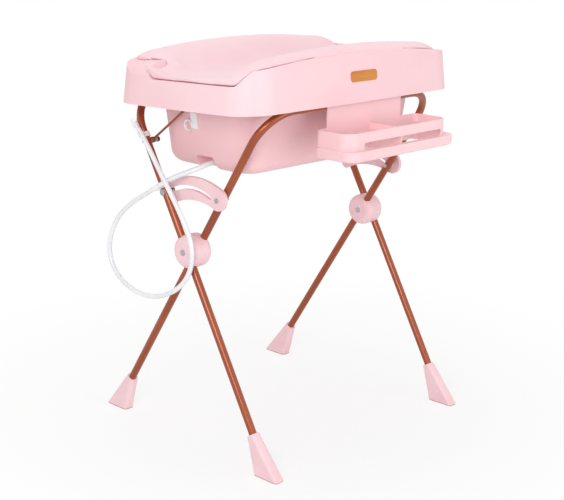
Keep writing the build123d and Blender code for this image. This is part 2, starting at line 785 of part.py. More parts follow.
def accessory_tray():
    """Shelf with a divided bin, a towel slot behind its front rail and two hooks for the bar."""
    bar_y = leg_y(front_lean, bar_height)
    back_y = bar_y - tube_radius - seat_clearance
    plate_front = back_y - tray_plate_thickness
    front_y = back_y - tray_depth
    base_top = tray_base_top
    wall = tray_wall
    bin_body = extrude(
        tray_plan(tray_length, tray_centre_x, front_y, back_y, base_top), tray_rim_height - base_top
    )
    base_x = tray_centre_x + tray_base_shift_x
    base = extrude(
        tray_plan(tray_base_length, base_x, front_y - tray_base_overhang, back_y, tray_bottom),
        tray_base_height,
    )
    base = fillet(base.faces().sort_by(Axis.Z)[0].edges(), tray_base_edge_radius)
    bin_hollow = extrude(
        tray_plan(tray_length - 2 * wall, tray_centre_x, front_y + wall, plate_front, tray_floor_height),
        tray_rim_height,
    )
    under_hollow = extrude(
        tray_plan(tray_length - 2 * wall, tray_centre_x, front_y + wall, back_y - wall, tray_bottom - wall),
        tray_floor_height - tray_bottom,
    )
    slot_face = RectangleRounded(tray_slot_length, tray_slot_height, tray_slot_corner)
    slot_x, slot_z = tray_centre_x + tray_slot_shift_x, base_top + tray_slot_height / 2
    slot_origin = (slot_x, front_y - tray_base_overhang - cut_overrun, slot_z)
    slot_plane = Plane(origin=slot_origin, x_dir=(1, 0, 0), z_dir=(0, 1, 0))
    slot = extrude(slot_plane * slot_face, tray_base_overhang + cut_overrun + 2 * wall)
    body = bin_body + base - bin_hollow - under_hollow - slot
    divider_x = tray_centre_x - tray_length / 2 + tray_divider_share * tray_length
    divider_height = tray_rim_height - tray_divider_drop - tray_floor_height
    divider = Pos(
        divider_x, (front_y + plate_front + wall) / 2, tray_floor_height + divider_height / 2
    ) * Box(wall, tray_depth - wall, divider_height)
    rib_height = tray_floor_height - tray_bottom - wall
    rib_depth = tray_depth - wall
    rib = Pos(divider_x, back_y - rib_depth / 2, tray_bottom + rib_height / 2) * Box(
        wall, rib_depth, rib_height
    )
    plate_height = bar_height - base_top
    plate = Pos(
        tray_plate_centre_x, (back_y + plate_front) / 2, base_top + plate_height / 2
    ) * Box(tray_plate_length, tray_plate_thickness, plate_height)
    hook_inner = tube_radius + seat_clearance
    ring = Circle(hook_inner + tray_plate_thickness) - Circle(hook_inner)
    half_ring = ring & Pos(0, tube_diameter) * Rectangle(4 * tube_diameter, 2 * tube_diameter)
    hook_face = Pos(bar_y, bar_height) * half_ring
    hooks = []
    for share in (-tray_hook_share, tray_hook_share):
        middle = tray_plate_centre_x + share * tray_plate_length
        hooks.append(prism_x(hook_face, middle - tray_hook_length / 2, middle + tray_hook_length / 2))
    return body + divider + rib + plate + hooks[0] + hooks[1]


def badge():
    """Bare rounded plate that follows the apron's front face."""
    skin = apron_form(-badge_gap - badge_thickness, 0, apron_bottom)
    skin = skin - apron_form(-badge_gap, 0, apron_bottom)
    plane = Plane(origin=(badge_x, 0, badge_z), x_dir=(1, 0, 0), z_dir=(0, -1, 0))
    outline = RectangleRounded(badge_length, badge_height, badge_corner_radius)
    column = extrude(plane * outline, apron_half_width * 2)
    return max((skin & column).solids(), key=lambda s: s.volume)


# Stays

tip_centre = (stay_tip_y, stay_tip_height)


def stay_rod():
    """Right-hand stay: an eye on the leg's bolt, a straight rod and a tip turned inwards."""
    eye_face = Pos(*stay_bolt_centre) * (
        Circle(stay_eye_radius) - Circle(stay_bolt_radius + running_clearance)
    )
    half_eye = stay_eye_thickness / 2
    eye = prism_x(eye_face, mid_plane_x - half_eye, mid_plane_x + half_eye)
    start = (mid_plane_x, *stay_bolt_centre)
    end = (mid_plane_x, *tip_centre)
    shaft = rod_between(start, end, stay_diameter / 2)
    eye_low, eye_high = mid_plane_x - stay_diameter, mid_plane_x + stay_diameter
    shaft = shaft - rod_x(stay_eye_radius - running_clearance, eye_low, eye_high, stay_bolt_centre)
    tip = rod_x(stay_diameter / 2, mid_plane_x - stay_tip_reach, mid_plane_x, tip_centre)
    knuckle = Pos(*end) * Sphere(stay_diameter / 2)
    return eye + shaft + knuckle + tip


def stay_bolt():
    """Bolt through the right-hand rear-frame leg, with a shoulder that spaces the stay's eye."""
    outside = rear_frame_half_width + tube_radius + fit_clearance
    inside = rear_frame_half_width - tube_radius - fit_clearance
    eye_high = mid_plane_x + stay_eye_thickness / 2 + fit_clearance
    bolt_low = mid_plane_x - stay_eye_thickness / 2 - collar_length - cap_nut_length / 2
    shank = rod_x(stay_bolt_radius, bolt_low, outside, stay_bolt_centre)
    head = rod_x(stay_bolt_head_radius, outside, outside + stay_bolt_head_height, stay_bolt_centre)
    shoulder = rod_x(stay_shoulder_radius, eye_high, inside, stay_bolt_centre)
    return shank + head + shoulder


def stay_collar():
    """Grey spacer collar next to the eye."""
    high = mid_plane_x - stay_eye_thickness / 2 - fit_clearance
    face = Pos(*stay_bolt_centre) * (Circle(collar_radius) - Circle(stay_bolt_radius + running_clearance))
    return prism_x(face, high - collar_length, high)


def stay_cap_nut():
    """Dark domed nut on the end of the bolt."""
    high = mid_plane_x - stay_eye_thickness / 2 - collar_length - 2 * fit_clearance
    nut = rod_x(cap_nut_radius, high - cap_nut_length, high, stay_bolt_centre)
    nut = fillet(nut.edges().sort_by(Axis.X)[0], cap_nut_radius / 2)
    depth = cap_nut_length / 2 + fit_clearance
    return nut - rod_x(stay_bolt_radius + fit_clearance, high - depth, high, stay_bolt_centre)


def stay_lug():
    """Hooked lug on the basin's end wall, over the tip of the right-hand stay."""
    dy = stay_bolt_centre[0] - tip_centre[0]
    dz = stay_bolt_centre[1] - tip_centre[1]
    # The tip swings down and forwards, square to the rod, so the lug holds it from the far side.
    facing = 90 - math.degrees(math.atan2(-dz, dy))
    inner = stay_diameter / 2 + seat_clearance
    outer = inner + lug_wall

    def at(radius, angle):
        turn = math.radians(angle)
        return radius * math.cos(turn), radius * math.sin(turn)

    low, high = facing - lug_wrap_angle, facing + lug_wrap_angle
    face = make_face(
        [
            ThreePointArc(at(outer, low), at(outer, facing), at(outer, high)),
            Line(at(outer, high), at(inner, high)),
            ThreePointArc(at(inner, high), at(inner, facing), at(inner, low)),
            Line(at(inner, low), at(outer, low)),
        ]
    )
    tip_end = mid_plane_x - stay_tip_reach - seat_clearance
    cup_end = mid_plane_x - stay_diameter / 2 - seat_clearance
    cup = prism_x(Pos(*tip_centre) * face, tip_end - cut_overrun, cup_end)
    back = rod_x(outer, tip_end - cut_overrun, tip_end, tip_centre)
    wall_form = basin_form(-fit_clearance, basin_bottom, basin_top - basin_flange_thickness)
    return cup + back - wall_form


# Hose and what holds it


def hose_radii():
    """Corner radii of the route, as large as the runs on either side allow."""
    points = [Vector(*p) for p in hose_route]
    radii = []
    for before, corner, after in zip(points, points[1:], points[2:]):
        run_in, run_out = corner - before, after - corner
        half_turn = math.radians(run_in.get_angle(run_out)) / 2
        radii.append(hose_run_share * min(run_in.length, run_out.length) / math.tan(half_turn))
    return radii


hose_path = FilletPolyline(*hose_route, radius=hose_radii())


def drain_hose():
    """Flexible tube along the route."""
    section = Circle(hose_radius) - Circle(hose_bore_diameter / 2)
    start = Plane(origin=hose_path @ 0, z_dir=hose_path % 0)
    return sweep(start * section, path=hose_path)


def end_ring():
    """Sleeve on the open end of the hose, with an eye turned outwards."""
    tip, along = hose_path @ 1, hose_path % 1
    sleeve = extrude(Plane(origin=tip, z_dir=along * -1) * Circle(end_sleeve_radius), end_sleeve_length)
    facing = Vector(*end_ring_facing).normalized()
    centre = tip + along * (end_ring_radius - end_ring_lap)
    eye_plane = Plane(origin=centre - facing * (end_ring_length / 2), z_dir=facing)
    eye = extrude(eye_plane * Circle(end_ring_radius), end_ring_length)
    bore_plane = Plane(origin=centre - facing * end_ring_length, z_dir=facing)
    bore = extrude(bore_plane * Circle(end_ring_bore_radius), 2 * end_ring_length)
    hose_plane = Plane(origin=tip, z_dir=along * -1)
    hose_way = extrude(hose_plane * Circle(hose_radius + fit_clearance), 2 * end_sleeve_length)
    return (sleeve + eye - hose_way) - bore


def hose_clip(index, opening):
    """Clip round the left rear-frame leg, square to the hose, with an open cradle for it."""
    place = Vector(*hose_route[index])
    along = (Vector(*hose_route[index + 1]) - Vector(*hose_route[index - 1])).normalized()
    pivot = Vector(-rear_frame_half_width, 0, pivot_height)
    leg_along = Vector(0, math.tan(math.radians(rear_lean)), 1).normalized()
    leg_centre = pivot + leg_along * (place - pivot).dot(leg_along)

    def bar(centre, direction, radius, length):
        start = centre - direction * (length / 2)
        return extrude(Plane(origin=start, z_dir=direction) * Circle(radius), length)

    reach = 4 * clip_width
    leg_radius = tube_radius + fit_clearance
    cradle_bore = hose_radius + 2 * seat_clearance
    collar = bar(leg_centre, leg_along, leg_radius + clip_wall, clip_width)
    cradle = bar(place, along, cradle_bore + clip_wall, clip_width)
    link = rod_between(tuple(leg_centre), tuple(place), clip_link_radius)
    out = Vector(*opening).normalized()
    opening_plane = Plane(origin=place + out * clip_opening_offset, z_dir=out)
    mouth = extrude(opening_plane * Rectangle(reach, reach), clip_width + hose_diameter)
    lift_plane = Plane(origin=place, x_dir=along, z_dir=out)
    lift_out = extrude(lift_plane * Rectangle(2 * clip_width, 2 * cradle_bore), 2 * hose_diameter)
    body = collar + link + (cradle - mouth)
    body = body - bar(leg_centre, leg_along, leg_radius, reach) - bar(place, along, cradle_bore, reach)
    return body - (lift_out - collar)


def stow_hook():
    """White tab under the left end of the bath with two open rings for the stowed hose."""
    low = stow_top - stow_tab_height
    flange_low = basin_top - basin_flange_thickness
    wall_form = basin_form(-fit_clearance, basin_bottom, flange_low)
    outer_form = basin_form(-fit_clearance - stow_tab_thickness, basin_bottom, flange_low)
    column = Pos(-well_half_length, stow_centre_y, (low + stow_top) / 2) * Box(
        well_half_length / 2, stow_tab_width, stow_tab_height
    )
    tab = (outer_form - wall_form) & column
    ring_y, ring_z = stow_centre_y + stow_ring_shift_y, low + stow_ring_radius / 2
    wall_growth = apron_wall - basin_taper * (basin_top - ring_z) / (basin_top - basin_bottom)
    wall_x = -(well_half_length + well_side_bow + wall_growth)
    wire, arm = stow_ring_wire / 2, stow_ring_radius - stow_ring_wire / 2
    first_x = wall_x - stow_tab_thickness - wire / 2
    second_x = first_x - stow_ring_gap
    hook = tab
    for x in (first_x, second_x):
        plane = Plane(origin=(x, ring_y, ring_z), x_dir=(0, -1, 0), z_dir=(-1, 0, 0))
        path = plane * CenterArc((0, 0), arm, 0, stow_ring_sweep)
        hook = hook + sweep(Plane(origin=path @ 0, z_dir=path % 0) * Circle(wire), path=path)
    return hook + rod_x(wire, second_x, first_x, (ring_y - arm, ring_z))


# Build every node

right_outer = (mid_plane_x + hub_gap / 2, mid_plane_x + hub_gap / 2 + hub_half_thickness)
right_inner = (mid_plane_x - hub_gap / 2 - hub_half_thickness, mid_plane_x - hub_gap / 2)
front_boot, front_sole = boot(-rear_lean, rear_frame_half_width)
rear_boot, rear_sole = boot(front_lean, front_frame_half_width)


def both(name, right_shape):
    """The right-hand piece and its mirrored left-hand copy, each a node of its own."""
    return {f"{name}_right": right_shape, f"{name}_left": other_side(right_shape)}


rear_frame_holes = [
    (rivet_radius, (0, pivot_height)),
    (guide_pin_radius, rear_pin_centre),
    (stay_bolt_radius, stay_bolt_centre),
]
front_frame_holes = [(rivet_radius, (0, pivot_height)), (arc_screw_shank_radius, arc_screw_centre)]

nodes = {
    "rear_frame_tube": frame_tube(-rear_lean, rear_frame_half_width, rear_frame_holes),
    "front_frame_tube": frame_tube(front_lean, front_frame_half_width, front_frame_holes),
    **both("hub_outer", hub_half(rear_frame_half_width, -rear_lean, *right_outer, True)),
    **both("hub_inner", hub_half(front_frame_half_width, front_lean, *right_inner, False)),
    **both("pivot_rivet", pivot_rivet()),
    **both("lock_arc", lock_arc()),
    **both("lock_arc_screw", lock_arc_screw()),
    **both("guide_pin", guide_pin()),
    **both("boot_front", front_boot),
    **both("boot_rear", rear_boot),
    **both("sole_front", front_sole),
    **both("sole_rear", rear_sole),
    "bath_apron": apron(),
    "bath_basin": basin(),
    **both("saddle_front", saddle(front_lean, -1)),
    **both("saddle_rear", saddle(-rear_lean, 1)),
    "drain_fitting": drain_fitting(),
    "drain_nut": drain_nut(),
    "drain_plug": drain_plug(),
    "mat_cushion": mat_cushion(),
    "mat_board": mat_board(),
    "accessory_tray": accessory_tray(),
    "badge_plate": badge(),
    **both("stay_rod", stay_rod()),
    **both("stay_bolt", stay_bolt()),
    **both("stay_collar", stay_collar()),
    **both("stay_cap_nut", stay_cap_nut()),
    **both("stay_lug", stay_lug()),
    "drain_hose": drain_hose(),
    "hose_end_ring": end_ring(),
    "hose_leg_clip": hose_clip(leg_clip_index, leg_clip_opening),
    "hose_end_clip": hose_clip(end_clip_index, end_clip_opening),
    "hose_stow_hook": stow_hook(),
}

# The tray's front rail and the rear boots' toes are the furthest out in Y.
tray_front_y = (
    leg_y(front_lean, bar_height) - tube_radius - seat_clearance - tray_depth - tray_base_overhang
)
front_toe_y = leg_y(-rear_lean, boot_height) - sole_heel_offset - sole_length
rear_toe_y = leg_y(front_lean, boot_height) + sole_heel_offset + sole_length
centring_shift = -(min(tray_front_y, front_toe_y) + rear_toe_y) / 2

for name, shape in nodes.items():
    export_step(Pos(0, centring_shift, 0) * shape, f"parts/{name}.step")

# The hose's tube is checked by its volume and its tightest bends.
hose = nodes["drain_hose"]
section_area = math.pi * (hose_radius**2 - (hose_bore_diameter / 2) ** 2)
volume_share = hose.volume / section_area / hose_path.length
print("hose length", round(hose_path.length, 1), "volume share", round(volume_share, 4))
print("hose radii", [round(r, 1) for r in hose_radii()])
print("centring shift", round(centring_shift, 3))
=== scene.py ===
"""Changing table with a bath on a folding stand: materials, padded mat, drain hose and studio."""

import math

import bmesh
import bpy
from mathutils import Matrix, Vector
from mathutils.bvhtree import BVHTree


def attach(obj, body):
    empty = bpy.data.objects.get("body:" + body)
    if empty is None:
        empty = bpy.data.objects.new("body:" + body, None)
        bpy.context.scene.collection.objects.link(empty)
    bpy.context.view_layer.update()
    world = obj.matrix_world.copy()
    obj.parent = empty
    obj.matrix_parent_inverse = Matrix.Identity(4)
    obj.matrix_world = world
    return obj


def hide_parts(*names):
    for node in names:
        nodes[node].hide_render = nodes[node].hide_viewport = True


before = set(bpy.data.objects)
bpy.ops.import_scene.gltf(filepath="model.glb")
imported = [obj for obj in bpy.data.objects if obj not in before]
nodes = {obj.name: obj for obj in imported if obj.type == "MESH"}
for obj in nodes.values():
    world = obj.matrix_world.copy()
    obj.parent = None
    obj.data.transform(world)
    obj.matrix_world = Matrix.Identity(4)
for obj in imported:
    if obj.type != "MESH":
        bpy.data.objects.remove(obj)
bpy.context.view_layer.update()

# How far the model was moved along Y to stand on its centre, in metres.
CENTRING_SHIFT = 0.002916


def linear(red, green, blue):
    """Linear colour of a tone read off on a 0 to 255 scale."""
    return tuple(
        (value / 255 / 12.92 if value <= 10 else ((value / 255 + 0.055) / 1.055) ** 2.4)
        for value in (red, green, blue)
    )


# Materials

GRAIN_ROUGHNESS = 0.55


class Finish:
    """One procedural material on a Principled shader, with its nodes added one by one."""

    def __init__(self, name, colour, roughness, **sockets):
        self.material = bpy.data.materials.new(name)
        self.material.use_nodes = True
        self.tree = self.material.node_tree
        self.shader = self.tree.nodes["Principled BSDF"]
        self.shader.inputs["Base Color"].default_value = (*colour, 1)
        self.shader.inputs["Roughness"].default_value = roughness
        for socket, value in sockets.items():
            self.shader.inputs[socket.replace("_", " ")].default_value = value
        self.place = self.tree.nodes.new("ShaderNodeTexCoord")
        self.height = None

    def add(self, kind, **settings):
        node = self.tree.nodes.new(kind)
        for name, value in settings.items():
            setattr(node, name, value)
        return node

    def join(self, out_socket, in_socket):
        self.tree.links.new(out_socket, in_socket)

    def laid_on(self, texture, scale, stretch=(1, 1, 1)):
        """Lays a texture on the piece's own coordinates."""
        mapping = self.add("ShaderNodeMapping")
        mapping.inputs["Scale"].default_value = stretch
        self.join(self.place.outputs["Object"], mapping.inputs["Vector"])
        texture.inputs["Scale"].default_value = scale
        self.join(mapping.outputs["Vector"], texture.inputs["Vector"])

    def grain(self, scale, detail=3.0, stretch=(1, 1, 1)):
        """Noise on the piece's own coordinates."""
        texture = self.add("ShaderNodeTexNoise")
        texture.inputs["Detail"].default_value = detail
        texture.inputs["Roughness"].default_value = GRAIN_ROUGHNESS
        self.laid_on(texture, scale, stretch)
        return texture.outputs["Fac"]

    def pebbles(self, scale):
        """Small rounded cells, as on embossed vinyl."""
        texture = self.add("ShaderNodeTexVoronoi", feature="DISTANCE_TO_EDGE")
        self.laid_on(texture, scale)
        return texture.outputs["Distance"]

    def spread(self, factor, low, high):
        """The factor moved to a range."""
        span = self.add("ShaderNodeMapRange")
        span.inputs["To Min"].default_value = low
        span.inputs["To Max"].default_value = high
        self.join(factor, span.inputs["Value"])
        return span.outputs["Result"]

    def tint(self, factor, first, second, low=0.35, high=0.65):
        """Base colour that wanders between two tones."""
        ramp = self.add("ShaderNodeValToRGB")
        ramp.color_ramp.elements[0].position = low
        ramp.color_ramp.elements[0].color = (*first, 1)
        ramp.color_ramp.elements[1].position = high
        ramp.color_ramp.elements[1].color = (*second, 1)
        self.join(factor, ramp.inputs["Fac"])
        self.join(ramp.outputs["Color"], self.shader.inputs["Base Color"])
        return ramp

    def painted_edge_highlight(self, ramp, edge_highlight_tone, reach=0.003):
        """Painted highlight: a lighter tone where a bevel would round the edges."""
        bevel = self.add("ShaderNodeBevel", samples=4)
        bevel.inputs["Radius"].default_value = reach
        geometry = self.add("ShaderNodeNewGeometry")
        product = self.add("ShaderNodeVectorMath", operation="DOT_PRODUCT")
        self.join(bevel.outputs["Normal"], product.inputs[0])
        self.join(geometry.outputs["Normal"], product.inputs[1])
        # painted highlight mixed in, up to half strength, where the bevel normal turns away from the face
        span = self.add("ShaderNodeMapRange")
        span.inputs["From Min"].default_value = 0.995
        span.inputs["From Max"].default_value = 0.93
        span.inputs["To Max"].default_value = 0.5
        self.join(product.outputs["Value"], span.inputs["Value"])
        mix = self.add("ShaderNodeMix", data_type="RGBA")
        self.join(span.outputs["Result"], mix.inputs["Factor"])
        self.join(ramp.outputs["Color"], mix.inputs[6])
        mix.inputs[7].default_value = (*edge_highlight_tone, 1)
        self.join(mix.outputs[2], self.shader.inputs["Base Color"])

    def rough(self, factor, low, high):
        self.join(self.spread(factor, low, high), self.shader.inputs["Roughness"])

    def raise_by(self, factor, strength, distance):
        """Bump from a height; a second call adds to the first."""
        bump = self.add("ShaderNodeBump")
        bump.inputs["Strength"].default_value = strength
        bump.inputs["Distance"].default_value = distance
        self.join(factor, bump.inputs["Height"])
        if self.height is not None:
            self.join(self.height, bump.inputs["Normal"])
        self.height = bump.outputs["Normal"]
        self.join(self.height, self.shader.inputs["Normal"])


def moulded(name, light, dark, edge_highlight_tone, roughness, coat=0.15, cloud=4.0):
    """Injection- or vacuum-moulded plastic: slow cloudiness, fine peel and a painted highlight along the
    edges.
    """
    finish = Finish(name, light, roughness, Coat_Weight=coat, Coat_Roughness=0.25)
    ramp = finish.tint(finish.grain(cloud, 2.0), dark, light)
    # painted highlight along the edges in the lighter third tone
    finish.painted_edge_highlight(ramp, edge_highlight_tone)
    finish.rough(finish.grain(60, 2.0), roughness - 0.05, roughness + 0.08)
    finish.raise_by(finish.grain(420, 2.0), 0.12, 0.0004)
    finish.raise_by(finish.grain(9, 1.0), 0.10, 0.002)
    return finish.material


# The third tone of each moulded plastic is the lighter colour of its painted edge highlight; the pink one
# is shared.
pink_light = linear(250, 214, 219)
pink_dark = linear(247, 205, 211)
pink_edge_highlight = linear(253, 228, 231)

shell_plastic = moulded("moulded shell plastic", pink_light, pink_dark, pink_edge_highlight, 0.48, coat=0.04)
basin_plastic = moulded(
    "moulded basin plastic", linear(244, 200, 204), linear(240, 192, 197), linear(250, 216, 220), 0.34
)
tray_plastic = moulded(
    "moulded tray plastic", linear(252, 214, 217), linear(250, 207, 211), pink_edge_highlight, 0.44
)
hub_plastic = moulded(
    "moulded hub and boot plastic",
    linear(249, 214, 219),
    linear(245, 205, 211),
    pink_edge_highlight,
    0.46,
    cloud=14.0,
)
board_plastic = moulded("mat board plastic", linear(243, 199, 204), linear(238, 191, 197), pink_edge_highlight, 0.5)
white_plastic = moulded(
    "white clip plastic",
    linear(246, 246, 247),
    linear(238, 238, 240),
    linear(252, 252, 252),
    0.35,
    cloud=20.0,
)
grey_plastic = moulded(
    "grey spacer plastic",
    linear(176, 172, 172),
    linear(160, 156, 156),
    linear(205, 202, 202),
    0.45,
    cloud=40.0,
)
dark_plastic = moulded(
    "dark cap plastic", linear(52, 44, 42), linear(40, 34, 33), linear(86, 78, 76), 0.35, cloud=40.0
)


def copper_paint():
    """Glossy copper-brown paint over steel tube, with a fine metallic flake and faint rub marks."""
    finish = Finish(
        "copper brown tube paint",
        linear(158, 70, 24),
        0.3,
        Metallic=0.3,
        Coat_Weight=0.5,
        Coat_Roughness=0.08,
    )
    finish.tint(finish.grain(9, 3.0), linear(150, 64, 20), linear(166, 76, 29), 0.3, 0.7)
    finish.rough(finish.grain(14, 2.0), 0.26, 0.34)
    finish.raise_by(finish.grain(600, 1.0), 0.01, 0.0001)
    return finish.material


def bright_steel(name, colour):
    """Zinc-plated fasteners with fine turning marks."""
    finish = Finish(name, colour, 0.32, Metallic=1.0)
    finish.rough(finish.grain(300, 3.0), 0.24, 0.42)
    finish.raise_by(finish.grain(900, 2.0), 0.15, 0.0001)
    return finish.material


def sole_rubber():
    """Moulded rubber with a matte pebbled skin."""
    finish = Finish("sole rubber", linear(205, 170, 172), 0.78)
    finish.tint(finish.grain(40, 3.0), linear(190, 154, 157), linear(212, 178, 180))
    finish.raise_by(finish.pebbles(700), 0.3, 0.0004)
    return finish.material


def hose_vinyl():
    """Milky flexible vinyl with a soft gloss and faint cloudiness."""
    finish = Finish(
        "milky hose vinyl",
        linear(240, 241, 245),
        0.3,
        Coat_Weight=0.4,
        Coat_Roughness=0.12,
    )
    finish.tint(finish.grain(11, 2.0), linear(233, 235, 240), linear(245, 246, 248))
    finish.rough(finish.grain(18, 2.0), 0.26, 0.36)
    return finish.material


def mat_vinyl():
    """Soft coated cloth on the mat: faint pebble grain, slow puckers and a low sheen."""
    finish = Finish(
        "padded mat vinyl",
        linear(249, 212, 218),
        0.52,
        Sheen_Weight=0.15,
        Sheen_Roughness=0.5,
        Subsurface_Weight=0.08,
    )
    finish.shader.inputs["Subsurface Radius"].default_value = (0.006, 0.003, 0.003)
    finish.tint(finish.grain(3.5, 3.0), linear(246, 205, 212), linear(250, 215, 221))
    finish.rough(finish.grain(25, 3.0), 0.46, 0.6)
    finish.raise_by(finish.grain(14, 3.0), 0.25, 0.004)
    finish.raise_by(finish.pebbles(1100), 0.16, 0.0003)
    return finish.material


def piping_vinyl():
    """Tighter, shinier vinyl on the mat's piping."""
    finish = Finish("mat piping vinyl", linear(246, 203, 209), 0.42)
    finish.tint(finish.grain(30, 3.0), linear(240, 192, 199), linear(249, 209, 215))
    finish.raise_by(finish.grain(260, 2.0), 0.25, 0.0006)
    return finish.material


def badge_metal():
    """Bare amber-gold plate, brushed along its length."""
    finish = Finish("amber badge plate", linear(205, 128, 44), 0.34, Metallic=0.45, Coat_Weight=0.4)
    finish.tint(finish.grain(60, 3.0, stretch=(0.1, 1, 1)), linear(196, 117, 36), linear(214, 140, 56))
    finish.rough(finish.grain(500, 2.0, stretch=(0.05, 1, 1)), 0.26, 0.42)
    finish.raise_by(finish.grain(900, 2.0, stretch=(0.05, 1, 1)), 0.2, 0.0002)
    return finish.material


copper = copper_paint()
steel = bright_steel("plated steel", linear(196, 196, 200))
rubber = sole_rubber()
vinyl = hose_vinyl()
mat_cover = mat_vinyl()
piping_cover = piping_vinyl()
amber = badge_metal()


def sides(*names):
    return [f"{name}_{side}" for name in names for side in ("left", "right")]


finishes = {
    copper: ["rear_frame_tube", "front_frame_tube"] + sides("stay_rod"),
    hub_plastic: sides("hub_outer", "hub_inner", "lock_arc", "boot_front", "boot_rear"),
    rubber: sides("sole_front", "sole_rear"),
    steel: sides("pivot_rivet", "lock_arc_screw", "guide_pin", "stay_bolt"),
    shell_plastic: ["bath_apron"] + sides("saddle_front", "saddle_rear"),
    basin_plastic: ["bath_basin"] + sides("stay_lug"),
    tray_plastic: ["accessory_tray"],
    board_plastic: ["mat_board"],
    amber: ["badge_plate"],
    white_plastic: [
        "hose_leg_clip",
        "hose_end_clip",
        "hose_stow_hook",
        "drain_fitting",
        "drain_nut",
        "drain_plug",
        "hose_end_ring",
    ],
    grey_plastic: sides("stay_collar"),
    dark_plastic: sides("stay_cap_nut"),
    vinyl: ["drain_hose"],
    mat_cover: ["mat_cushion"],
}
for material, names in finishes.items():
    for name in names:
        nodes[name].data.materials.clear()
        nodes[name].data.materials.append(material)


# Drain hose: the same route as the solid tube's, in metres

HOSE_ROUTE = [
    (-0.2707, -0.0340, 0.7080),
    (-0.2900, -0.0340, 0.7080),
    (-0.3140, -0.0300, 0.7020),
    (-0.3350, -0.0130, 0.6910),
    (-0.3490, 0.0140, 0.6790),
    (-0.3545, 0.0460, 0.6630),
    (-0.3575, 0.0820, 0.6420),
    (-0.3600, 0.1240, 0.6170),
    (-0.3620, 0.1760, 0.5870),
    (-0.3620, 0.2280, 0.5440),
    (-0.3620, 0.2610, 0.4890),
    (-0.3620, 0.2670, 0.4380),
    (-0.3620, 0.2430, 0.3960),
    (-0.3620, 0.2000, 0.3710),
    (-0.3620, 0.1480, 0.3600),
    (-0.3620, 0.0920, 0.3640),
    (-0.3620, 0.0400, 0.3840),
    (-0.3620, -0.0030, 0.4110),
    (-0.3620, -0.0350, 0.4490),
    (-0.3630, -0.0480, 0.4940),
    (-0.3650, -0.0430, 0.5370),
    (-0.3670, -0.0220, 0.5770),
    (-0.3680, 0.0060, 0.6170),
    (-0.3680, 0.0370, 0.6560),
    (-0.3670, 0.0690, 0.6940),
    (-0.3650, 0.1000, 0.7310),
    (-0.3630, 0.1320, 0.7650),
    (-0.3620, 0.1570, 0.7870),
]
HOSE_RADIUS = 0.006
CORD_STEPS = 10
CORD_ROUNDNESS = 6
MEASURING_STEPS = 24


def spline_curve(name, points, resolution):
    """Curve along a smooth spline with the points as its control points."""
    curve = bpy.data.curves.new(name, "CURVE")
    curve.dimensions = "3D"
    curve.resolution_u = resolution
    spline = curve.splines.new("NURBS")
    spline.points.add(len(points) - 1)
    for point, place in zip(spline.points, points):
        point.co = (*place, 1)
    spline.order_u = 3
    spline.use_endpoint_u = True
    return curve


def nurbs_line(name, points, radius, material):
    """Round cord along a spline."""
    curve = spline_curve(name, points, CORD_STEPS)
    curve.bevel_depth = radius
    curve.bevel_resolution = CORD_ROUNDNESS
    curve.use_fill_caps = True
    curve.materials.append(material)
    piece = bpy.data.objects.new(name, curve)
    bpy.context.scene.collection.objects.link(piece)
    return piece


def spline_length(points):
    """Length of the same spline, read from a copy with no thickness."""
    curve = spline_curve("measure", points, MEASURING_STEPS)
    probe = bpy.data.objects.new("measure", curve)
    line = bpy.data.meshes.new_from_object(probe)
    places = [v.co.copy() for v in line.vertices]
    bpy.data.objects.remove(probe)
    bpy.data.curves.remove(curve)
    bpy.data.meshes.remove(line)
    return sum((b - a).length for a, b in zip(places, places[1:]))


hose_points = [(x, y + CENTRING_SHIFT, z) for x, y, z in HOSE_ROUTE]
hose = nurbs_line("flexible_drain_hose", hose_points, HOSE_RADIUS, vinyl)
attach(hose, "tub")
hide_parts("drain_hose")
spline_length(hose_points)


# Padded mat, in metres

MAT_VOXEL = 0.0038
MAT_SWELL = 0.003
SWELL_FRAMES = 12
SOFTENING_ROUNDS = 2
DOUBLES_GAP = 0.00005
SEAM_SWELL_SHARE = 0.06
FULL_SWELL_UP_TO = 0.30
NO_SWELL_FROM = 0.36
PIPING_RADIUS = 0.0021
MAT_CORNER_X = 0.259
MAT_CORNER_Y = 0.147 + CENTRING_SHIFT
ABOVE_ALL = 1.2


def link_mesh(name, mesh, material):
    piece = bpy.data.objects.new(name, mesh)
    bpy.context.scene.collection.objects.link(piece)
    piece.data.materials.clear()
    piece.data.materials.append(material)
    return piece


def apply_modifiers(piece):
    """Bakes the live modifiers into the piece's mesh."""
    graph = bpy.context.evaluated_depsgraph_get()
    baked = bpy.data.meshes.new_from_object(piece.evaluated_get(graph))
    piece.modifiers.clear()
    old = piece.data
    piece.data = baked
    bpy.data.meshes.remove(old)


def shade_smooth(piece):
    for polygon in piece.data.polygons:
        polygon.use_smooth = True


def merged_copy(name, node):
    """New mesh with the node's form, its doubles merged."""
    shape = bmesh.new()
    shape.from_mesh(nodes[node].data)
    bmesh.ops.remove_doubles(shape, verts=shape.verts, dist=DOUBLES_GAP)
    mesh = bpy.data.meshes.new(name)
    shape.to_mesh(mesh)
    shape.free()
    return mesh


def soften(piece, rounds):
    """Evens out the voxel steps."""
    shape = bmesh.new()
    shape.from_mesh(piece.data)
    for _ in range(rounds):
        bmesh.ops.smooth_vert(
            shape, verts=shape.verts, factor=0.5, use_axis_x=True, use_axis_y=True, use_axis_z=True
        )
    shape.to_mesh(piece.data)
    shape.free()


def smoothstep(value, low, high):
    share = min(max((value - low) / (high - low), 0), 1)
    return share * share * (3 - 2 * share)


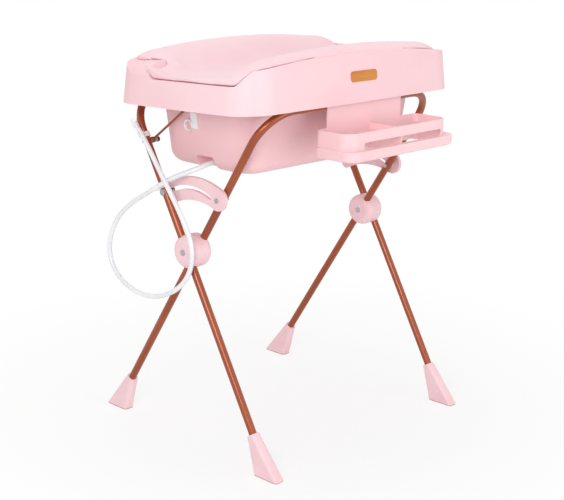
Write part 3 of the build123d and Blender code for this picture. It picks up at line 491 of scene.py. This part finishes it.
def swell(piece, reach, frames):
    """Short cloth run under pressure; only the upper side may rise, and less towards the ends."""
    start = [(v.co.copy(), v.normal.copy()) for v in piece.data.vertices]
    cloth = piece.modifiers.new("swell", "CLOTH")
    cloth.settings.use_pressure = True
    cloth.settings.uniform_pressure_force = 2.5
    cloth.settings.effector_weights.gravity = 0
    cloth.settings.tension_stiffness = 25
    cloth.settings.compression_stiffness = 25
    cloth.settings.bending_stiffness = 6
    cloth.settings.quality = 4
    scene = bpy.context.scene
    for step in range(1, frames + 1):
        scene.frame_set(step)
    apply_modifiers(piece)
    scene.frame_set(1)
    for vertex, (before, normal) in zip(piece.data.vertices, start):
        upper = smoothstep(normal.z, 0.2, 0.8)
        inside = 1 - smoothstep(abs(before.x), FULL_SWELL_UP_TO, NO_SWELL_FROM)
        most = reach * (SEAM_SWELL_SHARE + (1 - SEAM_SWELL_SHARE) * upper * inside)
        move = vertex.co - before
        if move.length > most:
            vertex.co = before + move * (most / move.length)


def padded_mat():
    """The mat's cover over its foam, swollen by a short cloth run from the seated form."""
    mat = link_mesh("padded_mat", merged_copy("padded_mat", "mat_cushion"), mat_cover)
    remesh = mat.modifiers.new("even", "REMESH")
    remesh.mode = "VOXEL"
    remesh.voxel_size = MAT_VOXEL
    apply_modifiers(mat)
    soften(mat, SOFTENING_ROUNDS)
    swell(mat, MAT_SWELL, SWELL_FRAMES)
    soften(mat, SOFTENING_ROUNDS)
    mat.data.materials.clear()
    mat.data.materials.append(mat_cover)
    shade_smooth(mat)
    return mat


mat = padded_mat()
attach(mat, "mat")
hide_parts("mat_cushion")


def surface_tree(node):
    """The node's surface, ready to be met from above."""
    shape = bmesh.new()
    shape.from_mesh(nodes[node].data)
    tree = BVHTree.FromBMesh(shape)
    shape.free()
    return tree


def met_from_above(tree, x, y):
    """Place and normal where a line straight down meets the surface, or None twice."""
    place, normal, _, _ = tree.ray_cast(Vector((x, y, ABOVE_ALL)), Vector((0, 0, -1)))
    return place, normal


def sewn_bead(name, points):
    """Thin piping that moves with the mat."""
    bead = nurbs_line(name, points, PIPING_RADIUS, piping_cover)
    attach(bead, "mat")


def uneven(index):
    """Small rise and fall of a sewn edge along its run."""
    return 0.0008 * math.sin(2.3 * index) + 0.0006 * math.sin(5.1 * index + 1.0)


def front_edge(apron, stations, near_y, far_y, lift):
    """Where the mat's front edge lies on the apron's top."""
    tries = 60
    level = 0.8
    behind_lip = 0.0035
    points = []
    for index, x in enumerate(stations):
        for step in range(tries):
            y = near_y + (far_y - near_y) * step / (tries - 1)
            place, normal = met_from_above(apron, x, y)
            if place is not None and normal.z > level:
                break
        points.append((x, y + behind_lip, place.z + lift + uneven(index)))
    return points


def rear_edge(cushion, apron, lift):
    """Along the mat's rear edge and round its two corners, on the apron's top."""
    turns, along = 6, 22
    first_angle, swept = 8, 82
    well_inside, stride = 0.03, 0.0005
    spokes = [(MAT_CORNER_X, math.radians(first_angle + swept * step / turns)) for step in range(turns + 1)]
    spokes += [(MAT_CORNER_X - 2 * MAT_CORNER_X * step / along, math.pi / 2) for step in range(1, along)]
    spokes += [(-MAT_CORNER_X, math.radians(90 + swept * step / turns)) for step in range(turns + 1)]
    points = []
    for index, (start, angle) in enumerate(spokes):
        reach = well_inside
        over_mat = True
        while over_mat:
            reach += stride
            x = start + reach * math.cos(angle)
            y = MAT_CORNER_Y + reach * math.sin(angle)
            over_mat = met_from_above(cushion, x, y)[0] is not None
        place, _ = met_from_above(apron, x, y)
        points.append((x, y, place.z + lift + 0.4 * uneven(index)))
    return points


apron_top = surface_tree("bath_apron")
front_stations = [-0.262 + 0.0245 * i for i in range(23)]
sewn_bead("mat_front_piping", front_edge(apron_top, front_stations, -0.256, -0.22, 0.0022))
sewn_bead("mat_rear_piping", rear_edge(surface_tree("mat_cushion"), apron_top, 0.0024))


# Studio: pale floor, plain light and the photograph's camera, in metres

FLOOR_SIZE = 12
FLOOR_GLOW = 1.02
SHADOW_WITHIN = 0.5
WHITE_BEYOND = 1.5
WHITE_SHARE_NEAR = 0.72
SURROUND_LIGHT = 0.62
CAMERA_YAW, CAMERA_PITCH, CAMERA_ROLL = 0.808, -0.268, 0.014
CAMERA_PLACE = (-2.2426, -2.1343 + CENTRING_SHIFT, 1.2843)
SENSOR_MM = 36
LENS_MM = 79.18


def studio_floor():
    """Large pale floor that keeps the object's shadow and shows as white."""
    shape = bmesh.new()
    bmesh.ops.create_grid(shape, x_segments=1, y_segments=1, size=FLOOR_SIZE)
    mesh = bpy.data.meshes.new("studio_floor")
    shape.to_mesh(mesh)
    shape.free()
    material = bpy.data.materials.new("pale studio floor")
    material.use_nodes = True
    tree = material.node_tree
    shader = tree.nodes["Principled BSDF"]
    shader.inputs["Base Color"].default_value = (0.92, 0.92, 0.92, 1)
    shader.inputs["Roughness"].default_value = 0.9
    shader.inputs["Specular IOR Level"].default_value = 0.1
    glow = tree.nodes.new("ShaderNodeEmission")
    glow.inputs["Strength"].default_value = FLOOR_GLOW
    mix = tree.nodes.new("ShaderNodeMixShader")
    path = tree.nodes.new("ShaderNodeLightPath")
    share = tree.nodes.new("ShaderNodeMath")
    share.operation = "MULTIPLY"
    tree.links.new(path.outputs["Is Camera Ray"], share.inputs[0])
    away = tree.nodes.new("ShaderNodeVectorMath")
    away.operation = "LENGTH"
    place = tree.nodes.new("ShaderNodeTexCoord")
    fade = tree.nodes.new("ShaderNodeMapRange")
    fade.inputs["From Min"].default_value = SHADOW_WITHIN
    fade.inputs["From Max"].default_value = WHITE_BEYOND
    fade.inputs["To Min"].default_value = WHITE_SHARE_NEAR
    fade.inputs["To Max"].default_value = 1.0
    tree.links.new(place.outputs["Object"], away.inputs[0])
    tree.links.new(away.outputs["Value"], fade.inputs["Value"])
    tree.links.new(fade.outputs["Result"], share.inputs[1])
    tree.links.new(share.outputs[0], mix.inputs["Fac"])
    tree.links.new(shader.outputs["BSDF"], mix.inputs[1])
    tree.links.new(glow.outputs["Emission"], mix.inputs[2])
    tree.links.new(mix.outputs["Shader"], tree.nodes["Material Output"].inputs["Surface"])
    floor = link_mesh("studio_floor", mesh, material)


def studio_world():
    """Even pale surround: white to the camera and in gloss, softer as light."""
    world = bpy.data.worlds.new("studio surround")
    bpy.context.scene.world = world
    world.use_nodes = True
    tree = world.node_tree
    background = tree.nodes["Background"]
    path = tree.nodes.new("ShaderNodeLightPath")
    seen = tree.nodes.new("ShaderNodeMath")
    seen.operation = "MAXIMUM"
    tree.links.new(path.outputs["Is Camera Ray"], seen.inputs[0])
    tree.links.new(path.outputs["Is Transmission Ray"], seen.inputs[1])
    gloss = tree.nodes.new("ShaderNodeMath")
    gloss.operation = "MAXIMUM"
    tree.links.new(seen.outputs[0], gloss.inputs[0])
    tree.links.new(path.outputs["Is Glossy Ray"], gloss.inputs[1])
    strength = tree.nodes.new("ShaderNodeMapRange")
    strength.inputs["To Min"].default_value = SURROUND_LIGHT
    strength.inputs["To Max"].default_value = 1.0
    tree.links.new(gloss.outputs[0], strength.inputs["Value"])
    tree.links.new(strength.outputs["Result"], background.inputs["Strength"])
    background.inputs["Color"].default_value = (1, 1, 1, 1)


def softbox(name, place, target, size, power):
    """Rectangular area lamp aimed at a point."""
    lamp = bpy.data.lights.new(name, "AREA")
    lamp.shape = "RECTANGLE"
    lamp.size, lamp.size_y = size
    lamp.energy = power
    piece = bpy.data.objects.new(name, lamp)
    piece.location = place
    piece.rotation_euler = (Vector(target) - Vector(place)).to_track_quat("-Z", "Y").to_euler()
    bpy.context.scene.collection.objects.link(piece)


def photo_camera():
    """Camera fitted to the photograph's perspective."""
    yaw, pitch, roll = CAMERA_YAW, CAMERA_PITCH, CAMERA_ROLL
    forward = Vector((math.sin(yaw) * math.cos(pitch), math.cos(yaw) * math.cos(pitch), math.sin(pitch)))
    right = Vector((math.cos(yaw), -math.sin(yaw), 0))
    up = right.cross(forward)
    turned_right = right * math.cos(roll) + up * math.sin(roll)
    turned_up = up * math.cos(roll) - right * math.sin(roll)
    camera = bpy.data.cameras.new("photo_camera")
    camera.sensor_width = SENSOR_MM
    camera.lens = LENS_MM
    camera.clip_start = 0.05
    camera.clip_end = 60
    piece = bpy.data.objects.new("photo_camera", camera)
    axes = Matrix((turned_right, turned_up, -forward)).transposed()
    piece.matrix_world = Matrix.Translation(Vector(CAMERA_PLACE)) @ axes.to_4x4()
    bpy.context.scene.collection.objects.link(piece)
    bpy.context.scene.camera = piece


studio_floor()
studio_world()
softbox("key_softbox", (-2.8, -1.6, 1.9), (0, 0, 0.7), (1.6, 1.6), 38)
softbox("fill_softbox", (0.6, -3.2, 0.8), (0, 0, 0.6), (2.4, 1.2), 20)
softbox("top_softbox", (0.3, 0.6, 3.2), (0, 0, 0.8), (2.4, 2.4), 18)
photo_camera()
bpy.context.scene.view_settings.view_transform = "Standard"
